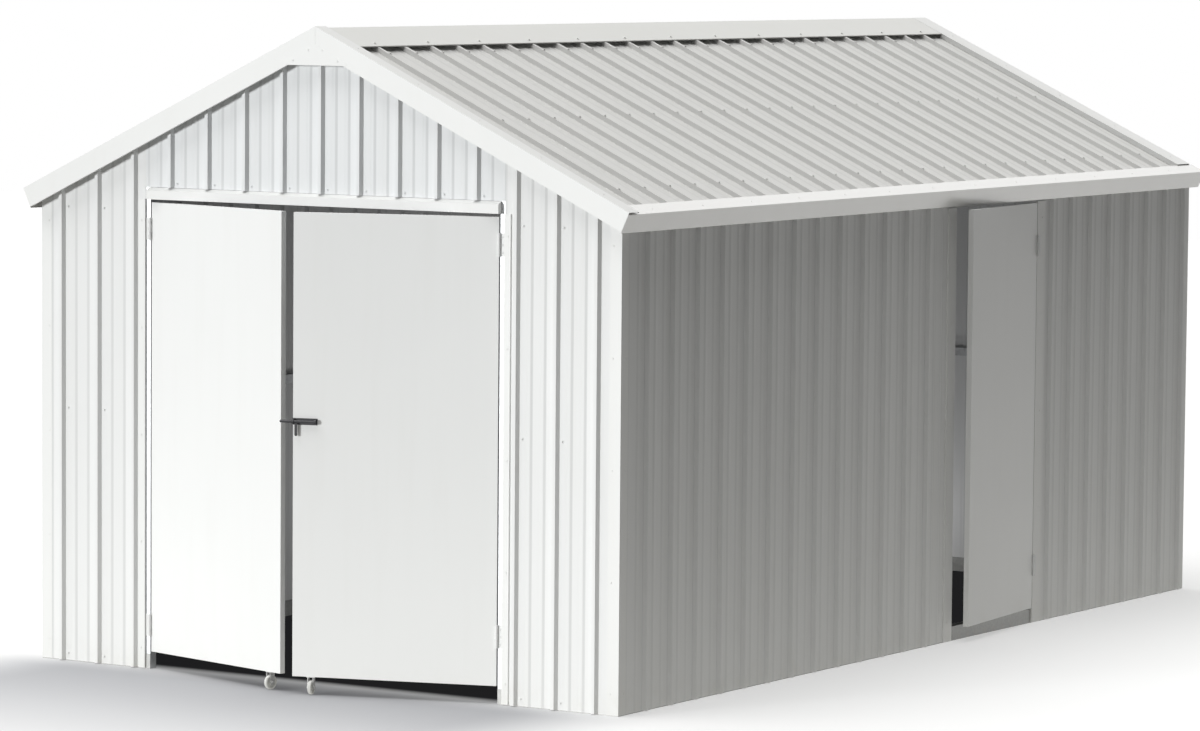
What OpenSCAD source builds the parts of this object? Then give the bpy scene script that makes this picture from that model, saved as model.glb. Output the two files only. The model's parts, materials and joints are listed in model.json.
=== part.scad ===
// Gable-roofed garage of ribbed steel sheet on a light steel frame: a pair of side-hung front
// leaves with caster wheels and a pad bolt, and one side door.
// Frame: origin at the centre of the floor plan on the ground, +X right, +Y to the rear, +Z up.
// Rest pose: the three doors stand ajar and the pad bolt is thrown. Millimetres.

/* [Building] */
// Width over the flat pans of the side walls
shed_w = 3000; // [2500:10:3600]
// Length over the flat pans of the end walls
shed_l = 5220; // [4330:10:6400]
// Height of the side walls, from the ground to the underside of the roof sheet
wall_h = 2068; // [1720:1:2500]
// Slope of the roof in degrees
roof_pitch = 25; // [20:0.5:30]
// How far the roof runs past the end walls
roof_overhang = 50; // [30:1:90]
// How far the fascia's top arris stands out from the side walls
eave_out = 60; // [50:1:110]

/* [Sheet] */
// Distance from one rib to the next
rib_pitch = 198; // [160:1:240]
// Height of a rib above the pan
rib_h = 18; // [10:0.5:24]
// Width of a rib where it leaves the pan
rib_base = 32; // [24:1:44]
// Width of a rib's flat crest
rib_crest = 16; // [8:1:20]
// Height of the two low swages between ribs
swage_h = 2; // [1:0.5:5]
// Width of a swage where it leaves the pan
swage_base = 30; // [14:1:36]
// Width of a swage's crest
swage_crest = 6; // [4:1:10]
// Thickness of the ribbed sheet
sheet_t = 0.6; // [0.4:0.05:1.2]
// First side-wall rib, behind the front corner
side_rib_first = 198; // [130:1:230]
// First roof rib, behind the front corner
roof_rib_first = 184; // [120:1:230]
// Height of the wall sheets' lower edge above the ground
sheet_gap = 3; // [0:1:20]

/* [Flashings] */
// Thickness of the folded flashings
flash_t = 0.8; // [0.5:0.1:1.5]
// Leg of a corner flashing on each wall
corner_leg = 54; // [40:1:110]
// Width of the fascia's flange on the roof
fascia_flange = 78; // [50:1:120]
// Depth of the fascia's face, square to the roof
fascia_drop = 83; // [65:1:110]
// Width of the barge's flange on the roof
barge_flange = 76; // [50:1:120]
// Depth of the barge's face, square to the roof
barge_drop = 87; // [70:1:120]
// Height of the barge's flange above the roof ribs
barge_lift = 10; // [6:1:16]
// width of the rear gable trim's flange, whose lip closes on the pans
rear_flange = 128; // [90:1:150]
// Turned-in lower edge of the barge
edge_lip = 12; // [6:1:20]
// Gap between the fascia's lower edge and the wall ribs
lip_clear = 1; // [0.5:0.5:5]
// Width of each wing of the ridge cap
ridge_wing = 169; // [140:1:260]
// Turned-down edge of the ridge cap
ridge_lip = 4; // [2:0.5:8]
// Height of the apex plate's lower edge below the underside of the roof's peak
apex_plate_drop = 132; // [110:1:180]

/* [Frame] */
// Side of the square tube posts
post_w = 40; // [30:1:60]
// Wall of the square tube posts
post_t = 2; // [1.5:0.1:4]
// Thickness of the channel tracks, girts and plates
track_t = 1.6; // [1:0.1:3]
// Height of the bottom track's legs
base_h = 65; // [40:1:90]
// Height of the top plates' legs
plate_h = 35; // [25:1:50]
// Drop from the roof sheet at the wall to the top plate
plate_drop = 55; // [50:1:70]
// Upper edge of the wall girts above the ground
girt_z = 1135; // [900:1:1300]
// Height of a girt's legs
girt_h = 40; // [25:1:60]
// Depth of the purlins
purlin_h = 40; // [30:1:60]
// Depth of the rafters
rafter_h = 60; // [50:1:90]
// Width of the purlins' and rafters' flanges
member_flange = 40; // [30:1:55]
// Number of rafter pairs
rafter_pairs = 4; // [2:1:6]
// Radius of the anchor holes in the bottom track
anchor_r = 6.5; // [4:0.5:9]
// Distance of the anchor holes from the wall corners
anchor_inset = 300; // [150:10:500]

/* [Front doorway] */
// Clear width of the front doorway
door_w = 1812; // [1500:2:2200]
// Drop from the wall height to the head of the front doorway
head_drop = 26; // [20:1:80]
// Width of the door post left bare beside the front doorway
post_bare = 24; // [18:1:34]
// Width of the front jamb flashings on the wall
front_jamb_w = 31; // [25:1:40]
// How far the jamb flashings stand out from the pans
jamb_out = 7; // [5:0.5:10]
// How far the head flashing stands out from the pans
head_out = 24; // [18:1:40]
// Height of the head flashing's front face
head_face = 38; // [20:1:60]
// Rise of the head flashing's top from its front arris to the wall
head_rise = 13; // [5:1:20]
// How far the head flashing's ends pass the doorway
head_end = 5; // [2:1:16]
// Height of the leaves' lower edge above the ground
leaf_z0 = 76; // [70:1:110]
// Gap over the front leaves
leaf_top_gap = 14; // [8:1:30]
// Gap where the closed leaves meet
meeting_gap = 28; // [10:1:40]
// Angle at which the left leaf stands ajar
left_ajar = 15; // [5:0.5:40]
// Angle at which the right leaf stands ajar
right_ajar = 16.5; // [5:0.5:40]
// how much longer the right leaf is than the left one
right_leaf_more = 10; // [0:1:20]

/* [Side doorway] */
// Near edge of the side doorway, behind the front corner
side_door_y = 2830; // [1500:5:3000]
// Clear width of the side doorway
side_door_w = 785; // [600:5:900]
// Drop from the wall height to the head of the side doorway
side_head_drop = 92; // [91:1:120]
// Width of the side jamb flashings on the wall
side_jamb_w = 75; // [40:1:90]
// Gap between the bottom track and the side leaf
side_leaf_gap = 6; // [5:1:20]
// Gap over the side leaf
side_top_gap = 7; // [5:1:20]
// Angle at which the side leaf stands ajar
side_ajar = 6; // [3:0.5:30]

/* [Leaves] */
// Thickness of a leaf
leaf_t = 25; // [22:1:45]
// Thickness of a leaf's folded skin
skin_t = 0.8; // [0.6:0.1:1.5]
// Gap between a leaf and its hinge jamb
leaf_gap = 5; // [5:0.5:8]
// Width of the lips folded round the back of a skin
skin_lip = 18; // [10:1:30]
// Face height of the top-hat rails behind a skin
hat_h = 60; // [40:1:90]
// Depth of the top-hat rails
hat_d = 18; // [12:1:30]

/* [Hinges] */
// Radius of a hinge knuckle
knuckle_r = 6; // [5:0.5:9]
// Radius of the hinge pin
pin_r = 3; // [2:0.25:4]
// Running clearance of pins, bolt and axles in their bores
run_clear = 0.08; // [0.03:0.01:0.1]
// Height of a hinge
hinge_h = 96; // [70:1:130]
// Width of a side hinge's fixed flap
flap_w = 30; // [20:1:34]
// Depth of a moving flap along the edge of its leaf
edge_flap = 22; // [16:1:24]
// Thickness of a hinge's flap
flap_t = 2; // [1.5:0.1:3]
// Distance of the front hinges' middles from the leaves' ends
front_hinge_in = 115; // [80:1:300]
// Distance of the right leaf's lower hinge from the leaf's lower edge
right_hinge_low = 208; // [80:1:400]
// Distance of the side hinges' middles from the leaf's ends
side_hinge_in = 200; // [80:1:350]

/* [Pad bolt] */
// Height of the bolt above the ground
bolt_z = 1152; // [700:1:1400]
// Radius of the bolt
bolt_r = 6; // [5:0.5:8]
// How far the thrown bolt passes the leaf's free edge
bolt_throw = 55; // [40:1:55]
// Travel of the bolt
bolt_travel = 74; // [60:1:90]
// Length of the bolt
bolt_l = 161; // [150:1:240]
// Height of the bolt's back plate
bolt_plate_h = 28; // [22:1:50]
// Length of the handle tab below the bolt's axis
tab_l = 61; // [40:1:80]
// Width of the handle tab
tab_w = 11; // [8:1:14]

/* [Casters] */
// Diameter of a caster wheel
wheel_d = 60; // [50:1:64]
// Width of a caster wheel
wheel_w = 18; // [14:1:26]
// Distance of a caster from the leaf's free edge
caster_in = 80; // [50:1:200]
// Gap under the wheels on level ground
wheel_gap = 1; // [0.5:0.5:5]
// Radius of a caster's axle
axle_r = 4; // [3:0.5:6]
// Thickness of a caster's fork
fork_t = 2.5; // [2:0.1:4]
// Side clearance of a wheel in its fork
fork_clear = 1.5; // [1:0.1:3]

/* [Hidden] */
$fn = 48;
half_w = shed_w / 2;
half_l = shed_l / 2;
frame_x = half_w - sheet_t;
frame_y = half_l - sheet_t;
apex_z = wall_h + half_w * tan(roof_pitch);
crest_n = sheet_t + rib_h;
cap_n = crest_n + ridge_lip;
lap_n = crest_n + 0.02;               // flashings that lie on the rib crests
over_cap = cap_n + flash_t + 0.2;
barge_n = crest_n + barge_lift;
eave_s = (half_w + eave_out - crest_n * sin(roof_pitch)) / cos(roof_pitch);
barge_y = half_l + roof_overhang;
rear_y = half_l + rib_h + lip_clear;  // the rear trim stands just clear of the wall's ribs
track_w = post_w + 2 * track_t;
plate_z = wall_h - plate_drop;
post_x = frame_x - track_t - post_w;
post_y = frame_y - track_t - post_w;
post_front = frame_y - track_t;
jamb_x = door_w / 2 + post_bare;
member_t = 2;
door_z = wall_h - head_drop;
side_head_z = wall_h - side_head_drop;
side_y0 = side_door_y - half_l;
side_y1 = side_y0 + side_door_w;
leaf_out = knuckle_r + 1.5;          // axis in front of a leaf's face
axis_in = 2;                         // axis inside the edge of the doorway
front_axis_x = door_w / 2 - axis_in;
front_axis_y = -(post_front + leaf_out);
side_axis_x = half_w + jamb_out + leaf_out;
side_axis_y = side_y1 - axis_in;
leaf_x0 = leaf_gap - axis_in;
leaf_x1 = front_axis_x - meeting_gap / 2;
right_leaf_x1 = leaf_x1 + right_leaf_more;
leaf_z1 = door_z - leaf_top_gap;
side_leaf_x1 = side_door_w - axis_in - leaf_gap;
side_leaf_z0 = base_h + side_leaf_gap;
side_leaf_z1 = side_head_z - side_top_gap;
knuckle_gap = 1;
bolt_out = 12;                       // bolt axis in front of the leaf's face
bolt_plate_t = 2.5;
guide_w = 7;
guide_wall = 4;
tab_t = 4;
guide_clear = 3;
fork_half = wheel_w / 2 + fork_clear + fork_t;
white_steel = [0.93, 0.94, 0.94];
roof_steel = [0.84, 0.84, 0.82];
trim_steel = [0.89, 0.89, 0.86];
frame_steel = [0.62, 0.63, 0.64];
leaf_paint = [0.90, 0.91, 0.90];
black_steel = [0.06, 0.06, 0.07];
wheel_grey = [0.80, 0.80, 0.79];
zinc = [0.55, 0.56, 0.57];

// ---- folded sheet metal: a line of fold points given a thickness on its left-hand side ----

function unit(v) = v / norm(v);
function left_of(a, b) = let (d = unit(b - a)) [-d[1], d[0]];
function mitre(n0, n1) = (n0 + n1) / (1 + n0 * n1);
function fold_side(pts, t) = let (last = len(pts) - 1) [
    for (i = [0 : last])
        let (n0 = left_of(pts[max(i - 1, 0)], pts[max(i, 1)]),
             n1 = left_of(pts[min(i, last - 1)], pts[min(i + 1, last)]))
        pts[i] + t * mitre(n0, n1)
];
function reversed(pts) = [for (i = [len(pts) - 1 : -1 : 0]) pts[i]];
function folded(pts, t) = concat(pts, reversed(fold_side(pts, t)));

// one raised rib or swage standing on the pan at u
function raised(u, base, crest, h) =
    [[u - base / 2, 0], [u - crest / 2, h], [u + crest / 2, h], [u + base / 2, 0]];
// ribs fall on every third step of the pitch, swages on the two steps between
function is_rib(i) = i - 3 * floor(i / 3) == 0;
function step_points(i, phase) = is_rib(i)
    ? raised(phase + i * rib_pitch / 3, rib_base, rib_crest, rib_h)
    : raised(phase + i * rib_pitch / 3, swage_base, swage_crest, swage_h);
function pan_line(u0, u1, phase, bare0, bare1) = let (
        step = rib_pitch / 3,
        first = ceil((u0 + bare0 + rib_base / 2 - phase) / step),
        last = floor((u1 - bare1 - rib_base / 2 - phase) / step))
    concat([[u0, 0]], [for (i = [first : last]) each step_points(i, phase)], [[u1, 0]]);

// pans at v = 0 with the ribs outwards (+v); bare ends carry a flashing and no rib
module ribbed_sheet(u0, u1, phase, bare0, bare1, length)
    linear_extrude(length) polygon(folded(pan_line(u0, u1, phase, bare0, bare1), -sheet_t));

module along_x(x0, x1) translate([x0, 0, 0]) rotate([90, 0, 90]) linear_extrude(x1 - x0) children();
module along_y(y0, y1) translate([0, y1, 0]) rotate([90, 0, 0]) linear_extrude(y1 - y0) children();
module box(p0, p1) translate(p0) cube(p1 - p0);
module both_sides() {
    children();
    mirror([1, 0, 0]) children();
}
module both_ends() {
    children();
    mirror([0, 1, 0]) children();
}

// wall faces: u runs along the wall, v points out of the building
module front_face() translate([0, -half_l, 0]) rotate([0, 0, 180]) children();
module rear_face() translate([0, half_l, 0]) children();
module right_face() translate([half_w, 0, 0]) rotate([0, 0, -90]) children();
module left_face() translate([-half_w, 0, 0]) rotate([0, 0, 90]) children();

// right-hand roof slope: x runs down the slope, z is square to the sheet's underside
module slope() translate([0, 0, apex_z]) rotate([0, roof_pitch, 0]) children();
function on_slope(s, n) = [s * cos(roof_pitch) + n * sin(roof_pitch),
                           apex_z - s * sin(roof_pitch) + n * cos(roof_pitch)];
function peak(n) = [0, apex_z + n / cos(roof_pitch)];
function mirrored(pts) = [for (p = reversed(pts)) [-p[0], p[1]]];
function roof_z(x) = apex_z - tan(roof_pitch) * abs(x);

// everything under the roof sheets
module under_roof() {
    reach = half_w + 100;
    along_y(-half_l - 100, half_l + 100)
        polygon([[-reach, -1], [reach, -1], [reach, roof_z(reach)], [0, apex_z],
                 [-reach, roof_z(reach)]]);
}

// ---- frame ----

module rect_ring(x, y, width, height) difference() {
    box([-x, -y, 0], [x, y, height]);
    box([-x + width, -y + width, -1], [x - width, y - width, height + 1]);
}

// bottom track: a channel open upwards round the plan, stopped at the front doorway
module base_frame() color(frame_steel) difference() {
    rect_ring(frame_x, frame_y, track_w, base_h);
    translate([0, 0, track_t])
        rect_ring(frame_x - track_t, frame_y - track_t, track_w - 2 * track_t, base_h);
    box([-door_w / 2, -frame_y - 1, -1], [door_w / 2, -frame_y + track_w + 1, base_h + 1]);
    for (x = [-1, 1], y = [-1, 1])
        translate([x * (frame_x - track_w / 2), y * (half_l - anchor_inset), -1])
            cylinder(r = anchor_r, h = track_t + 2);
}

module tube_post(x, y, z1) translate([x, y, track_t]) linear_extrude(z1 - track_t) difference() {
    square(post_w);
    translate([post_t, post_t]) square(post_w - 2 * post_t);
}

module corner_posts() color(frame_steel)
    both_ends() both_sides() tube_post(post_x, post_y, plate_z - track_t);

// front posts run up to the rafters, side posts to the top plate
module door_posts() color(frame_steel) {
    front_x = door_w / 2;
    front_top = roof_z(front_x + post_w) - (purlin_h + rafter_h) / cos(roof_pitch);
    both_sides() tube_post(front_x, -post_front, front_top);
    tube_post(post_x, side_y0 - flash_t - post_w, plate_z - track_t);
    tube_post(post_x, side_y1 + flash_t, plate_z - track_t);
}

// channels open downwards over the posts
module wall_plates() color(frame_steel) both_sides()
    along_y(-frame_y, frame_y)
        polygon(folded([[frame_x, plate_z - plate_h], [frame_x, plate_z],
                        [frame_x - track_w, plate_z], [frame_x - track_w, plate_z - plate_h]],
                       track_t));

// lipless channel rafters seated on the top plates; the web of each end pair is outermost
module rafter(y, facing) intersection() {
    low = -(purlin_h + rafter_h);
    web = [[facing * member_flange, low], [0, low], [0, -purlin_h], [facing * member_flange, -purlin_h]];
    slope() along_x(-1, eave_s)
        translate([y, 0]) polygon(folded(web, -facing * member_t));
    box([0.3, -half_l, plate_z], [frame_x, half_l, apex_z]);
}

module rafters() color(frame_steel) both_sides() for (i = [0 : rafter_pairs - 1]) {
    front_half = i < rafter_pairs / 2;
    y = -frame_y + i * 2 * frame_y / (rafter_pairs - 1);
    rafter(y, front_half ? 1 : -1);
}

module purlin(s) slope() along_y(-frame_y, frame_y)
    polygon(folded([[s + member_flange / 2, -purlin_h], [s - member_flange / 2, -purlin_h],
                    [s - member_flange / 2, 0], [s + member_flange / 2, 0]], -member_t));

module purlins() color(frame_steel) both_sides() {
    first = 130;
    last = frame_x / cos(roof_pitch) - 55;
    for (s = [first, (first + last) / 2, last]) purlin(s);
}

// channel open upwards against the wall sheet, in a wall face's own frame
module girt(u0, u1) translate([0, -sheet_t, 0]) along_x(u0, u1)
    polygon(folded([[0, girt_z], [0, girt_z - girt_h], [-post_w, girt_z - girt_h], [-post_w, girt_z]],
                   -track_t));

module girts() color(frame_steel) {
    left_face() girt(-post_y, post_y);
    rear_face() girt(-post_x, post_x);
    right_face() {
        girt(-(side_y0 - flash_t - post_w), post_y);
        girt(-post_y, -(side_y1 + flash_t + post_w));
    }
    front_face() both_sides() girt(door_w / 2 + post_w, post_x);
}

// channel over the front doorway, open to the inside
module front_lintel() color(frame_steel) {
    z0 = door_z + flash_t;
    front_face() translate([0, -sheet_t, 0]) along_x(-door_w / 2, door_w / 2)
        polygon(folded([[-post_w, z0 + girt_h], [0, z0 + girt_h], [0, z0], [-post_w, z0]], -track_t));
}

// ---- walls ----

module front_sheet(u0, u1, bare0, bare1, z0) color(white_steel) intersection() {
    front_face() translate([0, 0, z0]) ribbed_sheet(u0, u1, 0, bare0, bare1, apex_z - z0 + 1);
    under_roof();
}

module front_wall_left()
    front_sheet(jamb_x + flash_t, half_w, front_jamb_w, corner_leg, sheet_gap);
module front_wall_right()
    front_sheet(-half_w, -jamb_x - flash_t, corner_leg, front_jamb_w, sheet_gap);
module front_gable()
    front_sheet(-jamb_x - flash_t / 2, jamb_x + flash_t / 2, 20, 20, door_z + head_face + head_rise + 1);

module rear_wall() color(white_steel) intersection() {
    rear_face() translate([0, 0, sheet_gap])
        ribbed_sheet(-half_w, half_w, 0, corner_leg, corner_leg, apex_z - sheet_gap + 1);
    under_roof();
}

module left_wall() color(white_steel) intersection() {
    left_face() translate([0, 0, sheet_gap])
        ribbed_sheet(-frame_y, frame_y, side_rib_first - half_l, corner_leg, corner_leg, wall_h);
    under_roof();
}

module right_sheet(u0, u1, bare0, bare1) color(white_steel) intersection() {
    right_face() translate([0, 0, sheet_gap])
        ribbed_sheet(u0, u1, half_l - side_rib_first, bare0, bare1, wall_h);
    under_roof();
}

module right_wall_front()
    right_sheet(-side_y0 + flash_t, frame_y, side_jamb_w, corner_leg);
module right_wall_rear()
    right_sheet(-frame_y, -side_y1 - flash_t, corner_leg, side_jamb_w);

// ---- flashings ----

module corner_flashing() translate([0, 0, sheet_gap]) linear_extrude(wall_h - sheet_gap - flash_t)
    polygon(folded([[half_w - corner_leg, half_l], [half_w, half_l], [half_w, half_l - corner_leg]],
                   flash_t));

module front_corner_flashings() color(trim_steel) both_sides() mirror([0, 1, 0]) corner_flashing();
module rear_corner_flashings() color(trim_steel) both_sides() corner_flashing();

// jamb flashing with its edge at u = 0, the wall on the +u side, one leg turned inwards
module jamb(width, inward, z1) translate([0, 0, sheet_gap]) linear_extrude(z1 - sheet_gap)
    polygon(folded([[width, 0.2], [width, jamb_out], [0, jamb_out], [0, -inward]], flash_t));

// the front ones wrap the edge of the sheet and leave the inner edge of the post bare
module front_jambs() color(trim_steel) front_face() both_sides()
    translate([jamb_x, 0, 0]) jamb(front_jamb_w, sheet_t, door_z);

module side_jambs() color(trim_steel) right_face() {
    translate([-side_y0, 0, 0]) side_jamb();
    translate([-side_y1, 0, 0]) mirror([1, 0, 0]) side_jamb();
}
// the reveal stops on the bottom track
module side_jamb() difference() {
    jamb(side_jamb_w, sheet_t + post_w, side_head_z);
    box([-1, -post_w - track_t - 1, -1], [flash_t + 1, -sheet_t + 0.01, base_h]);
}

// sloped drip, front face and soffit over the front doorway
module door_head() color(trim_steel) front_face() {
    long = door_w / 2 + head_end;
    along_x(-long, long)
        polygon(folded([[0, door_z + head_face + head_rise], [head_out, door_z + head_face],
                        [head_out, door_z], [0.2, door_z]], -flash_t));
    along_x(-door_w / 2, door_w / 2)
        polygon(folded([[head_out - flash_t, door_z], [-sheet_t - post_w, door_z]], -flash_t));
}

// strip over the side doorway, tucked behind the fascia
module side_door_head() color(trim_steel) right_face()
    along_x(-side_y1 + 0.2, -side_y0 - 0.2)
        polygon(folded([[0, wall_h - 2], [0, side_head_z], [-sheet_t - post_w, side_head_z]], -sheet_t));

// ---- roof ----

module roof_sheet() color(roof_steel) slope() translate([12, 0, sheet_t]) rotate([90, 0, 90])
    ribbed_sheet(-barge_y + 1, rear_y - 1, roof_rib_first - half_l, 20, 20, eave_s - 17);

module roof_right() roof_sheet();
module roof_left() mirror([1, 0, 0]) roof_sheet();

module ridge_cap() color(roof_steel) {
    wing = [on_slope(ridge_wing, cap_n), on_slope(ridge_wing, crest_n)];
    line = concat(mirrored(wing), [peak(cap_n)], wing);
    along_y(-barge_y, rear_y) polygon(folded(line, flash_t));
}

module fascia() color(trim_steel) {
    foot = on_slope(eave_s, crest_n - fascia_drop);
    along_y(-barge_y, barge_y)
        polygon(folded([on_slope(eave_s - fascia_flange, lap_n), on_slope(eave_s, lap_n), foot,
                        [half_w + rib_h + lip_clear, foot[1]]], flash_t));
}

module right_fascia() fascia();
module left_fascia() mirror([1, 0, 0]) fascia();

// gable trim, its halves mitred at the peak
module barge_half() intersection() {
    slope() along_x(-60, eave_s)
        polygon(folded([[-barge_y + barge_flange, over_cap],
                        [-barge_y + barge_flange, barge_n], [-barge_y, barge_n],
                        [-barge_y, barge_n - barge_drop], [-barge_y + edge_lip, barge_n - barge_drop]],
                       -flash_t));
    box([0.3, -barge_y - 10, 0], [half_w + 200, 0, apex_z + 100]);
}

module front_barge() color(trim_steel) both_sides() barge_half();

// rear gable trim over the last rib; it ends against the fascia's flange and passes under it
module rear_barge_half() intersection() {
    face = -rear_y - flash_t;
    low = over_cap - barge_drop;
    last = eave_s - fascia_flange - lip_clear;
    inner = rear_flange - flash_t;
    mirror([0, 1, 0]) slope() {
        along_x(-60, last)
            polygon(folded([[face + inner, over_cap], [-rear_y, over_cap], [-rear_y, low]], -flash_t));
        along_x(last - 1, eave_s - 0.2)
            polygon([[face, low], [-rear_y, low], [-rear_y, crest_n - 0.2], [face, crest_n - 0.2]]);
        along_x(ridge_wing + flash_t + lip_clear, last)
            polygon([[face + inner - flash_t, sheet_t + lip_clear], [face + inner, sheet_t + lip_clear],
                     [face + inner, over_cap + 0.1], [face + inner - flash_t, over_cap + 0.1]]);
    }
    box([0.3, 0, 0], [half_w + 200, rear_y + 10, apex_z + 100]);
}

module rear_barge() color(trim_steel) both_sides() rear_barge_half();

// plate that closes the corner between the barges
module apex_plate() color(trim_steel) {
    low = apex_z - apex_plate_drop;
    under = (barge_n - barge_drop) / cos(roof_pitch);
    half = (apex_z + under - low) / tan(roof_pitch) + 15;
    along_y(-barge_y - 2 * flash_t, -barge_y - flash_t)
        polygon([[-half, low], [half, low], [half, roof_z(half) + under + 20],
                 [0, apex_z + under + 20], [-half, roof_z(half) + under + 20]]);
}

// ---- leaves: origin on the hinge axis, x along the leaf, y into the building ----

module at_left() translate([-front_axis_x, front_axis_y, 0]) rotate([0, 0, -left_ajar]) children();
module at_right() translate([front_axis_x, front_axis_y, 0])
    rotate([0, 0, right_ajar]) mirror([1, 0, 0]) children();
module at_side() translate([side_axis_x, side_axis_y, 0])
    rotate([0, 0, 90 + side_ajar]) mirror([1, 0, 0]) children();

// tray-folded skin: face, four returns and a lip round the back of the two stiles
module leaf_skin(x1, z0, z1) color(leaf_paint) {
    back = leaf_out + leaf_t;
    translate([0, 0, z0]) linear_extrude(z1 - z0)
        polygon(folded([[leaf_x0 + skin_lip, back], [leaf_x0, back], [leaf_x0, leaf_out],
                        [x1, leaf_out], [x1, back], [x1 - skin_lip, back]], skin_t));
    box([leaf_x0, leaf_out, z0], [x1, back, z0 + skin_t]);
    box([leaf_x0, leaf_out, z1 - skin_t], [x1, back, z1]);
}

// top-hat rails on the back of the skin, at the ends and the middle
module leaf_rails(x1, z0, z1) color(frame_steel) {
    face = leaf_out + skin_t;
    brim = 15;
    for (z = [z0 + 40, (z0 + z1 - hat_h) / 2, z1 - 40 - hat_h])
        along_x(leaf_x0 + skin_t, x1 - skin_t)
            polygon(folded([[face, z - brim], [face, z], [face + hat_d, z], [face + hat_d, z + hat_h],
                            [face, z + hat_h], [face, z + hat_h + brim]], -1));
}

function hinge_middles(z0, z1, low, high) = [z0 + low, z1 - high];

// moving flap along the edge of the leaf, with the middle knuckle
module moving_flap(z) translate([0, 0, z]) difference() {
    third = hinge_h / 3 - knuckle_gap;
    union() {
        box([leaf_x0 - flap_t, leaf_out, -hinge_h / 2], [leaf_x0, leaf_out + edge_flap, hinge_h / 2]);
        box([leaf_x0 - flap_t, 0, -third / 2], [leaf_x0, leaf_out + 1, third / 2]);
        translate([0, 0, -third / 2]) cylinder(r = knuckle_r, h = third);
    }
    translate([0, 0, -third]) cylinder(r = pin_r + run_clear, h = 2 * third);
}

// fixed flap of the given width with the outer knuckles and the pin
module fixed_flap(z, width) translate([0, 0, z]) {
    near = -axis_in - 1;
    box([near - width, leaf_out - flap_t, -hinge_h / 2], [near, leaf_out, hinge_h / 2]);
    for (s = [-1, 1]) {
        mid = s * (hinge_h / 6 + hinge_h / 2) / 2;
        end = hinge_h / 3;
        translate([0, 0, mid - end / 2]) cylinder(r = knuckle_r, h = end);
        box([near - 1, leaf_out - flap_t, mid - end / 2], [0, leaf_out, mid + end / 2]);
    }
    translate([0, 0, -hinge_h / 2]) cylinder(r = pin_r, h = hinge_h);
}

left_hinges = hinge_middles(leaf_z0, leaf_z1, front_hinge_in, front_hinge_in);
right_hinges = hinge_middles(leaf_z0, leaf_z1, right_hinge_low, front_hinge_in);
side_hinges = hinge_middles(side_leaf_z0, side_leaf_z1, side_hinge_in, side_hinge_in);

module flaps(middles) color(leaf_paint) for (z = middles) moving_flap(z);

module hinge_posts() color(leaf_paint) {
    front_flap = post_bare - 2;
    translate([-front_axis_x, front_axis_y, 0]) for (z = left_hinges) fixed_flap(z, front_flap);
    translate([front_axis_x, front_axis_y, 0]) mirror([1, 0, 0])
        for (z = right_hinges) fixed_flap(z, front_flap);
    translate([side_axis_x, side_axis_y, 0]) rotate([0, 0, 90]) mirror([1, 0, 0])
        for (z = side_hinges) fixed_flap(z, flap_w);
}

module left_leaf() at_left() leaf_skin(leaf_x1, leaf_z0, leaf_z1);
module left_leaf_rails() at_left() leaf_rails(leaf_x1, leaf_z0, leaf_z1);
module left_hinge_flaps() at_left() flaps(left_hinges);
module right_leaf() at_right() leaf_skin(right_leaf_x1, leaf_z0, leaf_z1);
module right_leaf_rails() at_right() leaf_rails(right_leaf_x1, leaf_z0, leaf_z1);
module right_hinge_flaps() at_right() flaps(right_hinges);
module side_leaf() at_side() leaf_skin(side_leaf_x1, side_leaf_z0, side_leaf_z1);
module side_leaf_rails() at_side() leaf_rails(side_leaf_x1, side_leaf_z0, side_leaf_z1);
module side_hinge_flaps() at_side() flaps(side_hinges);

// ---- pad bolt on the right leaf ----

bolt_x1 = right_leaf_x1 + bolt_throw;
bolt_x0 = bolt_x1 - bolt_l;
lead_guide_x = right_leaf_x1 - 1 - guide_w;
tab_x = lead_guide_x - guide_clear - tab_w;
rear_guide_x = tab_x - bolt_travel - guide_clear - guide_w;

module bolt_guide() color(black_steel) at_right() translate([0, leaf_out, bolt_z]) difference() {
    union() {
        box([rear_guide_x - 2, -bolt_plate_t, -bolt_plate_h / 2], [right_leaf_x1 - 0.5, 0, bolt_plate_h / 2]);
        for (x = [rear_guide_x, lead_guide_x]) {
            box([x, -bolt_out, -bolt_r - guide_wall], [x + guide_w, -1, bolt_r + guide_wall]);
            translate([x, -bolt_out, 0]) rotate([0, 90, 0]) cylinder(r = bolt_r + guide_wall, h = guide_w);
        }
    }
    translate([rear_guide_x - 5, -bolt_out, 0]) rotate([0, 90, 0])
        cylinder(r = bolt_r + run_clear, h = right_leaf_x1 - rear_guide_x + 10);
}

module pad_bolt() color(black_steel) at_right() translate([0, leaf_out - bolt_out, bolt_z]) {
    nose = 3;
    translate([bolt_x0, 0, 0]) rotate([0, 90, 0]) cylinder(r = bolt_r, h = bolt_l - nose);
    translate([bolt_x1 - nose, 0, 0]) rotate([0, 90, 0])
        cylinder(r1 = bolt_r, r2 = bolt_r - nose, h = nose);
    translate([tab_x, tab_t / 2, 0]) rotate([90, 0, 0]) linear_extrude(tab_t) {
        translate([0, -tab_l + tab_w / 2]) square([tab_w, tab_l - tab_w / 2]);
        translate([tab_w / 2, -tab_l + tab_w / 2]) circle(d = tab_w);
    }
}

// ---- casters under the free edges of the front leaves ----

caster_y = leaf_out + leaf_t / 2;
fork_plate_w = leaf_t - 1;
wheel_z = wheel_gap + wheel_d / 2;

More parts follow.
